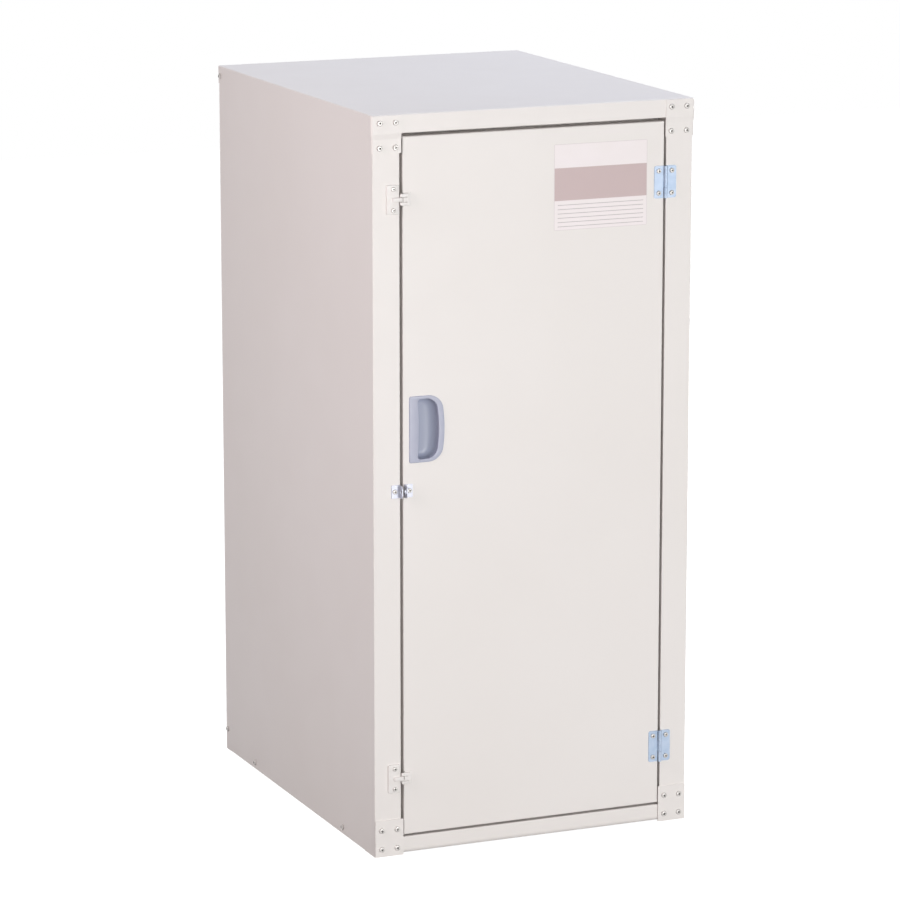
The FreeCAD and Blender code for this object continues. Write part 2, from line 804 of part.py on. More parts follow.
def make_frame_fitting_screws():
    """Small screws in the posts: of the hinges, the catches' keepers and the padlock eye."""
    screws = small_screws(hinge_points(hinge_z, 1), leaf_t)
    screws += small_screws(catch_points, keeper_t)
    return group(screws + small_screws([post_eye_point], eye_t))


def make_door_fitting_screws():
    """Small screws in the door: of the hinges and the padlock eye."""
    screws = small_screws(hinge_points(hinge_z, -1), leaf_t)
    return group(screws + small_screws([door_eye_point], eye_t))


side_panel_left, side_panel_right = drill_posts(make_side_panel())
post_eye = make_post_eye()
top_plate = make_top_plate()
bottom_plate = make_bottom_plate()

parts = {
    "side_panel_left": side_panel_left,
    "side_panel_right": side_panel_right,
    "top_cap": make_cap(),
    "back_panel": make_back_panel(),
    "head_rail": make_head_rail(),
    "bottom_rail": make_bottom_rail(),
    "floor_panel": make_floor(),
    "corner_plate_top_left": top_plate,
    "corner_plate_top_right": mirrored(top_plate),
    "corner_plate_bottom_left": bottom_plate,
    "corner_plate_bottom_right": mirrored(bottom_plate),
    "cabinet_screws": make_cabinet_screws(),
    "door_gasket": make_gasket(),
    "door_skin": make_door_skin(),
    "door_liner": make_liner(),
    "door_stiffener": make_stiffener(),
    "flush_pull": make_pull(),
    "padlock_eye_post": post_eye,
    "padlock_eye_door": mirrored(post_eye, gap_x),
    "frame_fitting_screws": make_frame_fitting_screws(),
    "door_fitting_screws": make_door_fitting_screws(),
}
for name, y in zip(("front", "rear"), bearer_y):
    parts["floor_bearer_" + name] = make_bearer(y)
for name, z in zip(("lower", "upper"), hinge_z):
    parts["hinge_" + name + "_frame_leaf"] = make_leaf(z, 1)
    parts["hinge_" + name + "_door_leaf"] = make_leaf(z, -1)
    parts["hinge_" + name + "_pin"] = make_pin(z)
    parts["hinge_" + name + "_post_plate"] = make_tapped_plate(z, 1)
    parts["hinge_" + name + "_door_plate"] = make_tapped_plate(z, -1)
for name, z in zip(("lower", "upper"), catch_z):
    parts["catch_" + name + "_keeper"] = make_keeper(z)
    parts["catch_" + name + "_fork"] = make_fork(z)

# The finished cabinet stands with the middle of its outline over the origin
outline = Part.makeCompound(list(parts.values())).BoundBox
to_origin = Vector(-(outline.XMin + outline.XMax) / 2, -(outline.YMin + outline.YMax) / 2, 0)
os.makedirs("parts", exist_ok=True)
for name, shape in parts.items():
    shape.translate(to_origin)
    shape.exportStep("parts/" + name + ".step")
    volume = round(shape.Volume)
    print(name, "solids", len(shape.Solids), "valid", shape.isValid(), "volume", volume)
print("moved by", [round(c, 3) for c in to_origin])
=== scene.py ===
import math

import bmesh
import bpy
from mathutils import Matrix, Vector


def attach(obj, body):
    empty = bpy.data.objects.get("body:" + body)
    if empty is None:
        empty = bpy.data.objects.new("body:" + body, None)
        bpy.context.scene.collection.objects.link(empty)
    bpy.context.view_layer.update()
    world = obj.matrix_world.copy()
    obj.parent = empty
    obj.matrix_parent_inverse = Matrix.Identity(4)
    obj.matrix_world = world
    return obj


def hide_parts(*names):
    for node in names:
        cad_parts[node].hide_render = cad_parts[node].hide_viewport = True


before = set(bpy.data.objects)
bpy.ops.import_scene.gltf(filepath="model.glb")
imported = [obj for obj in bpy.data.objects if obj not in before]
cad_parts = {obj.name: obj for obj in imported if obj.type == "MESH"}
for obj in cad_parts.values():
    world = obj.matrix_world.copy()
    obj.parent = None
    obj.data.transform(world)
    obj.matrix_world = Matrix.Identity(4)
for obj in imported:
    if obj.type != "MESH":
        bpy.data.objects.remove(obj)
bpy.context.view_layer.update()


# Camera
# A long lens from the front left, looking down a little, as the cabinet was photographed. It has no
# shift and no depth of field.
scene = bpy.context.scene
camera_place = (-2.6229, -6.1300, 1.9983)
camera_turn = math.radians(23.160)
camera_dip = math.radians(12.208)
bpy.ops.object.select_all(action="DESELECT")
bpy.ops.object.camera_add(
    location=camera_place, rotation=(math.radians(90) - camera_dip, 0, -camera_turn)
)
camera = bpy.context.object
camera.name = "camera"
camera.data.lens = 170
camera.data.sensor_width = 36
camera.data.clip_end = 60
scene.camera = camera
scene.view_settings.view_transform = "Standard"


# Studio
# White seamless surroundings with soft light: the room itself, a broad lamp in front, a weak warm
# one on the left, a cool one overhead, and one behind for the back and the right side. The white is
# only what camera, gloss and glass see.
room_light = 0.28
plain_white = (1.0, 1.0, 0.99)
warm_white = (1.0, 0.885, 0.900)
cool_white = (0.77, 0.83, 1.0)
floor_size = 14
floor_matt = (0.35, 0.345, 0.34, 1)
floor_glow = (0.95, 0.95, 0.95, 1)


def seen_directly(tree):
    """Socket that is 1 for what camera, gloss or glass sees, and 0 for light on other things."""
    path = tree.nodes.new("ShaderNodeLightPath")
    seen = path.outputs["Is Camera Ray"]
    for ray in ("Is Glossy Ray", "Is Transmission Ray"):
        either = tree.nodes.new("ShaderNodeMath")
        either.operation = "MAXIMUM"
        tree.links.new(seen, either.inputs[0])
        tree.links.new(path.outputs[ray], either.inputs[1])
        seen = either.outputs[0]
    return seen


def lamp(name, place, aim, size, watts, colour):
    """Square soft lamp at a place, turned to what it lights."""
    bpy.ops.object.light_add(type="AREA", location=place)
    light = bpy.context.object
    light.name = name
    light.rotation_euler = (Vector(aim) - Vector(place)).to_track_quat("-Z", "Y").to_euler()
    light.data.size = size
    light.data.energy = watts
    light.data.color = colour


world = bpy.data.worlds.new("studio")
scene.world = world
world.use_nodes = True
tree = world.node_tree
tree.nodes.clear()
room = tree.nodes.new("ShaderNodeBackground")
room.inputs["Color"].default_value = (*plain_white, 1)
room.inputs["Strength"].default_value = room_light
white = tree.nodes.new("ShaderNodeBackground")
white.inputs["Color"].default_value = (1, 1, 1, 1)
white.inputs["Strength"].default_value = 1.0
room_or_white = tree.nodes.new("ShaderNodeMixShader")
tree.links.new(seen_directly(tree), room_or_white.inputs[0])
tree.links.new(room.outputs[0], room_or_white.inputs[1])
tree.links.new(white.outputs[0], room_or_white.inputs[2])
out = tree.nodes.new("ShaderNodeOutputWorld")
tree.links.new(room_or_white.outputs[0], out.inputs["Surface"])

lamp("lamp_front", (0.6, -4.8, 0.7), aim=(0, -0.3, 0.3), size=1.4, watts=127, colour=plain_white)
lamp("lamp_left", (-2.0, -0.55, 1.45), aim=(-0.27, -0.05, 0.65), size=1.0, watts=20.5, colour=warm_white)
lamp("lamp_top", (0.9, 0.3, 3.4), aim=(0, 0, 1.1), size=1.6, watts=37, colour=cool_white)
lamp("lamp_back", (3.0, 2.8, 0.55), aim=(0.1, 0.1, 0.55), size=1.1, watts=90, colour=plain_white)

bpy.ops.mesh.primitive_plane_add(size=floor_size)
floor = bpy.context.object
floor.name = "floor"
floor_finish = bpy.data.materials.new("pale_floor")
floor_finish.use_nodes = True
tree = floor_finish.node_tree
tree.nodes.clear()
matt = tree.nodes.new("ShaderNodeBsdfDiffuse")
matt.inputs["Color"].default_value = floor_matt
glow = tree.nodes.new("ShaderNodeEmission")
glow.inputs["Color"].default_value = floor_glow
tree.links.new(seen_directly(tree), glow.inputs["Strength"])
matt_and_glow = tree.nodes.new("ShaderNodeAddShader")
tree.links.new(matt.outputs[0], matt_and_glow.inputs[0])
tree.links.new(glow.outputs[0], matt_and_glow.inputs[1])
out = tree.nodes.new("ShaderNodeOutputMaterial")
tree.links.new(matt_and_glow.outputs[0], out.inputs["Surface"])
floor.data.materials.append(floor_finish)


# Baked ivory paint
# The folded sheets, welded or screwed together, and the corner plates screwed over them are steel
# with one coat of ivory enamel, baked on. It is satin, with a faint orange peel and hardly any
# change of tone over a panel.
ivory = (0.807, 0.768, 0.745, 1)
ivory_pale = (0.822, 0.785, 0.765, 1)


def finish(name, colour, roughness, metallic=0.0):
    """Named material, with its main shader and its tree."""
    material = bpy.data.materials.new(name)
    material.use_nodes = True
    shader = material.node_tree.nodes["Principled BSDF"]
    shader.inputs["Base Color"].default_value = colour
    shader.inputs["Roughness"].default_value = roughness
    shader.inputs["Metallic"].default_value = metallic
    return material, shader, material.node_tree


def grain(tree, size, detail):
    """Noise whose lumps are about that size in metres, in the object's own space."""
    place = tree.nodes.new("ShaderNodeTexCoord")
    noise = tree.nodes.new("ShaderNodeTexNoise")
    noise.inputs["Scale"].default_value = 1 / size
    noise.inputs["Detail"].default_value = detail
    tree.links.new(place.outputs["Object"], noise.inputs["Vector"])
    return noise.outputs["Fac"]


def blend_by(tree, value, low, high, colours):
    """Colour that runs from the first to the second as the value goes from low to high."""
    ramp = tree.nodes.new("ShaderNodeValToRGB")
    for element, position, colour in zip(ramp.color_ramp.elements, (low, high), colours):
        element.position = position
        element.color = colour
    tree.links.new(value, ramp.inputs["Fac"])
    return ramp.outputs["Color"]


def tint_by(tree, shader, value, low, high, colours):
    """Surface colour that runs from the first to the second as the value goes from low to high."""
    tree.links.new(blend_by(tree, value, low, high, colours), shader.inputs["Base Color"])


def rough_by(tree, shader, value, low, high):
    """Roughness that runs between two figures with the value."""
    spread = tree.nodes.new("ShaderNodeMapRange")
    spread.inputs["To Min"].default_value = low
    spread.inputs["To Max"].default_value = high
    tree.links.new(value, spread.inputs["Value"])
    tree.links.new(spread.outputs["Result"], shader.inputs["Roughness"])


def bump_by(tree, shader, value, height, strength):
    """Surface relief of a height in metres."""
    bump = tree.nodes.new("ShaderNodeBump")
    bump.inputs["Strength"].default_value = strength
    bump.inputs["Distance"].default_value = height
    tree.links.new(value, bump.inputs["Height"])
    tree.links.new(bump.outputs["Normal"], shader.inputs["Normal"])


def dress(material, *nodes):
    """Gives CAD nodes their finish."""
    for name in nodes:
        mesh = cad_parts[name].data
        mesh.materials.clear()
        mesh.materials.append(material)


enamel, shader, tree = finish("ivory_enamel", ivory, roughness=0.42)
tint_by(tree, shader, grain(tree, size=0.35, detail=2), low=0.35, high=0.65, colours=(ivory, ivory_pale))
rough_by(tree, shader, grain(tree, size=0.05, detail=4), low=0.36, high=0.50)
bump_by(tree, shader, grain(tree, size=0.0035, detail=3), height=0.00004, strength=0.35)
dress(enamel, "side_panel_left", "side_panel_right", "top_cap", "head_rail", "bottom_rail")
dress(enamel, "door_skin", "door_liner", "door_stiffener")
for level in ("top", "bottom"):
    for side in ("left", "right"):
        dress(enamel, "corner_plate_" + level + "_" + side)


# Sheets at the back and below
# The back panel, the floor tray and its bearers are painted with the rest, but their inner faces
# are a shade duller, where bags rub along them.
rubbed = (0.775, 0.736, 0.713, 1)
inner_enamel, shader, tree = finish("inner_enamel", ivory, roughness=0.5)
tint_by(tree, shader, grain(tree, size=0.06, detail=5), low=0.40, high=0.70, colours=(ivory, rubbed))
rough_by(tree, shader, grain(tree, size=0.02, detail=5), low=0.40, high=0.62)
bump_by(tree, shader, grain(tree, size=0.004, detail=3), height=0.00005, strength=0.35)
dress(inner_enamel, "back_panel", "floor_panel", "floor_bearer_front", "floor_bearer_rear")


# Door gasket
# A strip of dark soft rubber, a little dusty, glued round the opening on the door stop. The gap
# round the door shows it.
rubber_dark = (0.120, 0.102, 0.092, 1)
rubber_dusty = (0.175, 0.155, 0.142, 1)
rubber, shader, tree = finish("gasket_rubber", rubber_dark, roughness=0.8)
mottle = grain(tree, size=0.015, detail=4)
tint_by(tree, shader, mottle, low=0.40, high=0.72, colours=(rubber_dark, rubber_dusty))
bump_by(tree, shader, grain(tree, size=0.0015, detail=4), height=0.0001, strength=0.5)
dress(rubber, "door_gasket")


# Hinges and tapped plates
# Steel leaves, pressed and rolled round a plain pin, and screwed through the sheet into tapped plates
# behind it. All have bright zinc plate with a clear blue cast, a little cloudy from place to place.
zinc_blue = (0.315, 0.395, 0.515, 1)
zinc_light = (0.385, 0.455, 0.565, 1)
zinc, shader, tree = finish("blue_zinc_plate", zinc_blue, roughness=0.3, metallic=0.5)
clouds = grain(tree, size=0.012, detail=3)
tint_by(tree, shader, clouds, low=0.35, high=0.65, colours=(zinc_blue, zinc_light))
rough_by(tree, shader, grain(tree, size=0.003, detail=3), low=0.40, high=0.56)
bump_by(tree, shader, grain(tree, size=0.0008, detail=2), height=0.00001, strength=0.5)
for height in ("lower", "upper"):
    for piece in ("frame_leaf", "door_leaf", "pin", "post_plate", "door_plate"):
        dress(zinc, "hinge_" + height + "_" + piece)


# Padlock eyes
# Two small pressed angles, one screwed to the post and one to the door, whose holes line up for a
# padlock. Their plating is paler than the hinges' and nearly without a cast.
nickel_pale = (0.520, 0.535, 0.610, 1)
nickel_worn = (0.440, 0.455, 0.530, 1)
nickel, shader, tree = finish("pale_plate", nickel_pale, roughness=0.38, metallic=0.45)
wear = grain(tree, size=0.006, detail=3)
tint_by(tree, shader, wear, low=0.35, high=0.65, colours=(nickel_pale, nickel_worn))
rough_by(tree, shader, grain(tree, size=0.002, detail=3), low=0.34, high=0.50)
bump_by(tree, shader, grain(tree, size=0.0006, detail=2), height=0.00001, strength=0.5)
dress(nickel, "padlock_eye_post", "padlock_eye_door")


# Flush pull
# One D-shaped moulding of blue-grey plastic, pushed into a hole in the door from the front. Its
# rim lies on the door, and a bowl behind it, steep on the left and sloped on the right, takes the
# fingers.
pull_blue = (0.405, 0.422, 0.535, 1)
pull_pale = (0.440, 0.455, 0.560, 1)
pull_painted_shade = (0.320, 0.345, 0.445, 1)
face_y = -0.324
rim_front = face_y - 0.002
pull_z = 0.6685
pull_slices = 6
# The pull's painted shade starts just in front of the door's face and is full 12 mm behind it.
painted_shade_start = face_y - 0.001
painted_shade_end = face_y + 0.012

# Places nearer to each other than this are one, and an edge with a larger angle than this is sharp.
close = 1e-5
sharp = math.radians(60)


def work_on(piece):
    """Makes the piece the only one that the next operators work on."""
    bpy.ops.object.select_all(action="DESELECT")
    bpy.context.view_layer.objects.active = piece
    piece.select_set(True)


def pick(mesh, kind, test):
    """Selects only the vertices, edges or faces that pass the test, in edit mode."""
    bpy.ops.mesh.select_mode(type=kind)
    bpy.ops.mesh.select_all(action="DESELECT")
    shape = bmesh.from_edit_mesh(mesh)
    parts = {"VERT": shape.verts, "EDGE": shape.edges, "FACE": shape.faces}[kind]
    for part in parts:
        part.select = test(part)
    shape.select_flush_mode()
    bmesh.update_edit_mesh(mesh)


def combine(piece, other, operation, solver="EXACT"):
    """Adds the other shape to the piece (UNION) or takes it out (DIFFERENCE), and removes it."""
    work_on(piece)
    boolean = piece.modifiers.new("boolean", "BOOLEAN")
    boolean.operation = operation
    boolean.solver = solver
    boolean.object = other
    bpy.ops.object.modifier_apply(modifier="boolean")
    bpy.data.objects.remove(other)


def soften(piece, width, segments, test):
    """Rounds the edges that pass the test."""
    work_on(piece)
    bpy.ops.object.mode_set(mode="EDIT")
    pick(piece.data, "EDGE", test)
    bpy.ops.mesh.bevel(offset=width, segments=segments, affect="EDGES", profile=0.5)
    bpy.ops.object.mode_set(mode="OBJECT")


def sharp_before(edge, depth):
    """Whether an edge is sharp and lies in front of a depth."""
    if not all(vert.co.y < depth for vert in edge.verts):
        return False
    return len(edge.link_faces) == 2 and edge.calc_face_angle() > sharp


def upright_sheet(middle, width, height):
    """Flat sheet that faces the front, left in edit mode."""
    bpy.ops.object.select_all(action="DESELECT")
    bpy.ops.mesh.primitive_plane_add(size=1, location=middle, rotation=(math.radians(90), 0, 0))
    sheet = bpy.context.object
    sheet.scale = (width, height, 1)
    bpy.ops.object.transform_apply(location=True, rotation=True, scale=True)
    bpy.ops.object.mode_set(mode="EDIT")
    return sheet


def turn_outwards():
    """Turns the faces of the shape in edit mode outwards, and leaves edit mode."""
    bpy.ops.mesh.select_all(action="SELECT")
    bpy.ops.mesh.normals_make_consistent(inside=False)
    bpy.ops.object.mode_set(mode="OBJECT")


def d_blank(left, right, half, small, big, right_bow, left_bow, front, steps):
    """D-shaped block round the pull's middle height, with small corners on the left, big ones on
    the right and bowed sides, that goes back from its front in steps. Each step gives the depth,
    and how far the left, the right and the ends have come in there."""
    middle = (left + right) / 2
    blank = upright_sheet((middle, front, pull_z), right - left, 2 * half)
    pick(blank.data, "VERT", lambda v: v.co.x > middle)
    bpy.ops.mesh.bevel(offset=big, segments=12, affect="VERTICES")
    pick(blank.data, "VERT", lambda v: v.co.x < middle)
    bpy.ops.mesh.bevel(offset=small, segments=5, affect="VERTICES")
    # Cuts across the sides, so that they can bow.
    for number in range(1 - pull_slices, pull_slices):
        bpy.ops.mesh.select_all(action="SELECT")
        height = pull_z + number * half / pull_slices
        bpy.ops.mesh.bisect(plane_co=(middle, front, height), plane_no=(0, 0, 1))
    levels = sorted({round(v.co.z, 5) for v in bmesh.from_edit_mesh(blank.data).verts})
    for level in levels:
        share = ((level - pull_z) / half) ** 2
        for side, bow in ((1, -right_bow * share), (-1, left_bow * (1 - share))):
            if abs(bow) < close / 10:
                continue
            pick(
                blank.data,
                "VERT",
                lambda v: side * (v.co.x - middle) > 0 and abs(v.co.z - level) < close,
            )
            bpy.ops.transform.translate(value=(bow, 0, 0))
    bpy.ops.mesh.select_all(action="SELECT")
    depth, low_x, high_x, reach = front, left, right, half
    for back, from_left, from_right, from_ends in steps:
        bpy.ops.mesh.extrude_region_move(TRANSFORM_OT_translate={"value": (0, back - depth, 0)})
        new_low, new_high, new_reach = left + from_left, right - from_right, half - from_ends
        narrower = (new_high - new_low) / (high_x - low_x)
        if narrower < 1:
            still = (new_low - low_x * narrower) / (1 - narrower)
            bpy.ops.transform.resize(
                value=(narrower, 1, new_reach / reach), center_override=(still, back, pull_z)
            )
        depth, low_x, high_x, reach = back, new_low, new_high, new_reach
    turn_outwards()
    return blank


pull = d_blank(
    left=-0.2066,
    right=-0.1486,
    half=0.0515,
    small=0.003,
    big=0.020,
    right_bow=0.0060,
    left_bow=0,
    front=rim_front,
    steps=[(face_y, 0, 0, 0)],
)
soften(pull, width=0.0013, segments=5, test=lambda e: sharp_before(e, rim_front + close))

# Each row of the bowl is a depth behind the door's face, and how far the steep wall, the slope and
# the ends have come in there.
bowl = (
    (0.0020, 0.0000, 0.0000, 0.0000),
    (0.0050, 0.0001, 0.0009, 0.0003),
    (0.0080, 0.0003, 0.0026, 0.0010),
    (0.0105, 0.0010, 0.0052, 0.0022),
    (0.0123, 0.0022, 0.0087, 0.0039),
    (0.0133, 0.0042, 0.0128, 0.0060),
    (0.0136, 0.0068, 0.0168, 0.0086),
)
bowl_left = -0.1931
bowl_right = -0.1581
bowl_half = 0.0465
bowl_small = 0.005
bowl_big = 0.015
bowl_left_bow = 0.0020
wall = 0.0016
rim_overlap = 0.0008
past_rim = 0.006
cup = d_blank(
    left=bowl_left - wall,
    right=bowl_right + wall,
    half=bowl_half + wall,
    small=bowl_small + wall,
    big=bowl_big + wall,
    right_bow=0.0052,
    left_bow=bowl_left_bow,
    front=face_y - rim_overlap,
    steps=[(face_y + depth + wall, *came_in) for depth, *came_in in bowl],
)
combine(pull, cup, "UNION")
hollow = d_blank(
    left=bowl_left,
    right=bowl_right,
    half=bowl_half,
    small=bowl_small,
    big=bowl_big,
    right_bow=0.0051,
    left_bow=bowl_left_bow,
    front=face_y - past_rim,
    steps=[(face_y + depth, *came_in) for depth, *came_in in bowl],
)
combine(pull, hollow, "DIFFERENCE", solver="FAST")
soften(pull, width=0.0010, segments=4, test=lambda e: sharp_before(e, rim_front + close))
bpy.ops.object.shade_smooth_by_angle(angle=math.radians(35))
pull.name = "flush_pull_moulding"


def object_place(tree):
    """Sockets X, Y and Z of the place on the object, in metres."""
    place = tree.nodes.new("ShaderNodeTexCoord")
    parted = tree.nodes.new("ShaderNodeSeparateXYZ")
    tree.links.new(place.outputs["Object"], parted.inputs["Vector"])
    return parted.outputs


def lay_over(tree, under, colour, share):
    """Colour with another one over it, as far as the share goes from 0 to 1."""
    mix = tree.nodes.new("ShaderNodeMixRGB")
    tree.links.new(share, mix.inputs["Fac"])
    tree.links.new(under, mix.inputs["Color1"])
    mix.inputs["Color2"].default_value = colour
    return mix.outputs["Color"]


moulded, shader, tree = finish("blue_grey_moulding", pull_blue, roughness=0.38)
swirl = grain(tree, size=0.03, detail=3)
tone = blend_by(tree, swirl, low=0.35, high=0.65, colours=(pull_blue, pull_pale))
# Painted shade: the bowl's colour darkens with its depth behind the door's face, for the shade in the
# recess.
depth = tree.nodes.new("ShaderNodeMapRange")
depth.inputs["From Min"].default_value = painted_shade_start
depth.inputs["From Max"].default_value = painted_shade_end
tree.links.new(object_place(tree)["Y"], depth.inputs["Value"])
with_painted_shade = lay_over(tree, tone, pull_painted_shade, depth.outputs["Result"])
tree.links.new(with_painted_shade, shader.inputs["Base Color"])
rough_by(tree, shader, grain(tree, size=0.004, detail=4), low=0.32, high=0.48)
bump_by(tree, shader, grain(tree, size=0.0012, detail=3), height=0.00003, strength=0.5)
pull.data.materials.append(moulded)
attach(pull, "door")
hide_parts("flush_pull")


# Catches
# Ivory plastic mouldings that hold the free edge of the door, at the hinges' heights. The keeper, a
# plate with a rib, is screwed to the post, and a fork on the door snaps over the rib.
catch_ivory = (0.790, 0.757, 0.735, 1)
catch_worn = (0.825, 0.795, 0.780, 1)
catch_z = 0.123
catch_rise = 0.899
catch_front = face_y - 0.0062
plastic, shader, tree = finish("ivory_moulding", catch_ivory, roughness=0.45)
wear = grain(tree, size=0.01, detail=3)
tint_by(tree, shader, wear, low=0.40, high=0.65, colours=(catch_ivory, catch_worn))
rough_by(tree, shader, grain(tree, size=0.003, detail=3), low=0.38, high=0.52)
bump_by(tree, shader, grain(tree, size=0.0010, detail=2), height=0.00002, strength=0.4)


def block(left, right, front, back, half, middle_z=catch_z):
    """Plain block, twice the half in height, to be rounded, joined or cut with."""
    low = (left, front, middle_z - half)
    high = (right, back, middle_z + half)
    bpy.ops.object.select_all(action="DESELECT")
    middle = [(a + b) / 2 for a, b in zip(low, high)]
    bpy.ops.mesh.primitive_cube_add(size=1, location=middle)
    piece = bpy.context.object
    piece.scale = [b - a for a, b in zip(low, high)]
    bpy.ops.object.transform_apply(location=True, rotation=True, scale=True)
    return piece


def rounded_block(left, right, front, back, half, corner, edge):
    """Block with its corners and the edges of its front rounded."""
    piece = block(left, right, front, back, half)
    soften(piece, corner, segments=5, test=lambda e: abs(e.verts[0].co.y - e.verts[1].co.y) > close)
    soften(piece, edge, segments=4, test=lambda e: sharp_before(e, front + close))
    return piece


def fit_catch(piece, body, nodes):
    """Gives a moulding its finish, and puts it at the lower hinge's height and at the upper's."""
    work_on(piece)
    bpy.ops.object.shade_smooth_by_angle(angle=math.radians(40))
    piece.data.materials.append(plastic)
    upper = piece.copy()
    upper.data = piece.data.copy()
    scene.collection.objects.link(upper)
    upper.data.transform(Matrix.Translation((0, 0, catch_rise)))
    for moulding, node in zip((piece, upper), nodes):
        moulding.name = node + "_moulding"
        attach(moulding, body)
        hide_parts(node)


keeper = rounded_block(
    left=-0.2432,
    right=-0.2228,
    front=face_y - 0.0030,
    back=face_y,
    half=0.0225,
    corner=0.0022,
    edge=0.0012,
)
rib_left = -0.2345
rib_nose = 0.0030
rib = block(left=rib_left, right=-0.2182, front=catch_front, back=face_y - 0.0015, half=0.0033)
soften(
    rib,
    width=rib_nose,
    segments=6,
    test=lambda e: all(v.co.x < rib_left + close and v.co.y < catch_front + close for v in e.verts),
)
soften(rib, width=0.0012, segments=4, test=lambda e: sharp_before(e, catch_front + rib_nose + close))
combine(keeper, rib, "UNION")
fit_catch(keeper, "cabinet", ["catch_lower_keeper", "catch_upper_keeper"])

fork = rounded_block(
    left=-0.2222,
    right=-0.2075,
    front=catch_front,
    back=face_y - 0.0006,
    half=0.0090,
    corner=0.0016,
    edge=0.0014,
)
past_left = -0.2240
past_front = catch_front - 0.002
past_back = face_y + 0.002
behind = block(left=past_left, right=-0.2150, front=face_y - 0.0035, back=past_back, half=0.02)
combine(fork, behind, "DIFFERENCE")
mouth = block(left=past_left, right=-0.2177, front=past_front, back=face_y, half=0.00375)
combine(fork, mouth, "DIFFERENCE")
groove_right = -0.2112
groove_back = catch_front + 0.0024
groove_half = 0.0007
groove_rise = 0.0037
for sign in (-1, 1):
    groove_z = catch_z + sign * groove_rise
    groove = block(past_left, groove_right, past_front, groove_back, groove_half, groove_z)
    combine(fork, groove, "DIFFERENCE")
flange = rounded_block(
    left=-0.2160,
    right=-0.2030,
    front=face_y - 0.0012,
    back=face_y,
    half=0.0102,
    corner=0.0016,
    edge=0.0006,
)
combine(fork, flange, "UNION")
fit_catch(fork, "door", ["catch_lower_fork", "catch_upper_fork"])


# Label
# A self-adhesive card stuck to the door beside the upper hinge: white above and below, with one
# mauve band, a hairline border and blank ruled rows. It carries no words or signs.
card_white = (0.880, 0.815, 0.828, 1)
card_aged = (0.860, 0.800, 0.800, 1)
card_mauve = (0.560, 0.440, 0.440, 1)
card_line = (0.470, 0.420, 0.430, 1)
card_edge = (0.70, 0.64, 0.645, 1)
card_left = 0.0325
card_right = 0.1885
card_bottom = 0.9580
card_top = 1.0900
card_thickness = 0.0002
card_corner = 0.0015
band_bottom = 1.0035
band_top = 1.0535
rows_bottom = 0.9625
rows_top = 0.9985
rows_margin = 0.006
row_gap = 0.0066
row_half = 0.00045
border = 0.0007
card = upright_sheet(
    ((card_left + card_right) / 2, face_y - card_thickness, (card_bottom + card_top) / 2),
    card_right - card_left,
    card_top - card_bottom,
)
bpy.ops.mesh.select_all(action="SELECT")
bpy.ops.mesh.bevel(offset=card_corner, segments=4, affect="VERTICES")
bpy.ops.mesh.extrude_region_move(TRANSFORM_OT_translate={"value": (0, card_thickness, 0)})
turn_outwards()
card.name = "door_label"


def within(tree, value, low, high):
    """1 where a value lies between two figures, and 0 elsewhere."""
    compare = tree.nodes.new("ShaderNodeMath")
    compare.operation = "COMPARE"
    tree.links.new(value, compare.inputs[0])
    compare.inputs[1].default_value = (low + high) / 2
    compare.inputs[2].default_value = (high - low) / 2
    return compare.outputs[0]


def both(tree, first, second):
    """1 where two values are 1, and 0 where either is 0."""
    product = tree.nodes.new("ShaderNodeMath")
    product.operation = "MULTIPLY"
    tree.links.new(first, product.inputs[0])
    tree.links.new(second, product.inputs[1])
    return product.outputs[0]


paper, shader, tree = finish("label_card", card_white, roughness=0.5)
place = object_place(tree)
across, up = place["X"], place["Z"]
ageing = grain(tree, size=0.05, detail=3)
aged = blend_by(tree, ageing, low=0.3, high=0.7, colours=(card_white, card_aged))
printed = lay_over(tree, aged, card_mauve, within(tree, up, band_bottom, band_top))
fold = tree.nodes.new("ShaderNodeMath")
fold.operation = "PINGPONG"
fold.inputs[1].default_value = row_gap / 2
tree.links.new(up, fold.inputs[0])
on_row = within(tree, fold.outputs[0], -row_half, row_half)
among_rows = both(
    tree,
    within(tree, across, card_left + rows_margin, card_right - rows_margin),
    within(tree, up, rows_bottom, rows_top),
)
printed = lay_over(tree, printed, card_line, both(tree, on_row, among_rows))
inner = both(
    tree,
    within(tree, across, card_left + border, card_right - border),
    within(tree, up, card_bottom + border, card_top - border),
)
outer = tree.nodes.new("ShaderNodeInvert")
tree.links.new(inner, outer.inputs["Color"])
printed = lay_over(tree, printed, card_edge, outer.outputs["Color"])
tree.links.new(printed, shader.inputs["Base Color"])
rough_by(tree, shader, grain(tree, size=0.01, detail=3), low=0.40, high=0.55)
bump_by(tree, shader, grain(tree, size=0.02, detail=2), height=0.00003, strength=0.3)
card.data.materials.append(paper)
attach(card, "door")


# Screws
# Steel pan heads with a cross recess. Large ones hold the corner plates, cap, sides and bearers, and
# small ones the hinges, keepers and padlock eyes. Their plating is dull, and the recess has painted
# shade.
plate_dull = (0.600, 0.582, 0.562, 1)
plate_dark = (0.450, 0.432, 0.415, 1)
recess_painted_shade = (0.085, 0.075, 0.070, 1)
recess_painted_shade_grey = (0.150, 0.138, 0.130, 1)
large_head = 0.009
large_height = 0.0026
small_head = 0.0076
small_height = 0.0022
plated, shader, tree = finish("dull_plate", plate_dull, roughness=0.36, metallic=0.45)
wear = grain(tree, size=0.004, detail=3)
tint_by(tree, shader, wear, low=0.35, high=0.70, colours=(plate_dull, plate_dark))
rough_by(tree, shader, grain(tree, size=0.001, detail=2), low=0.30, high=0.46)
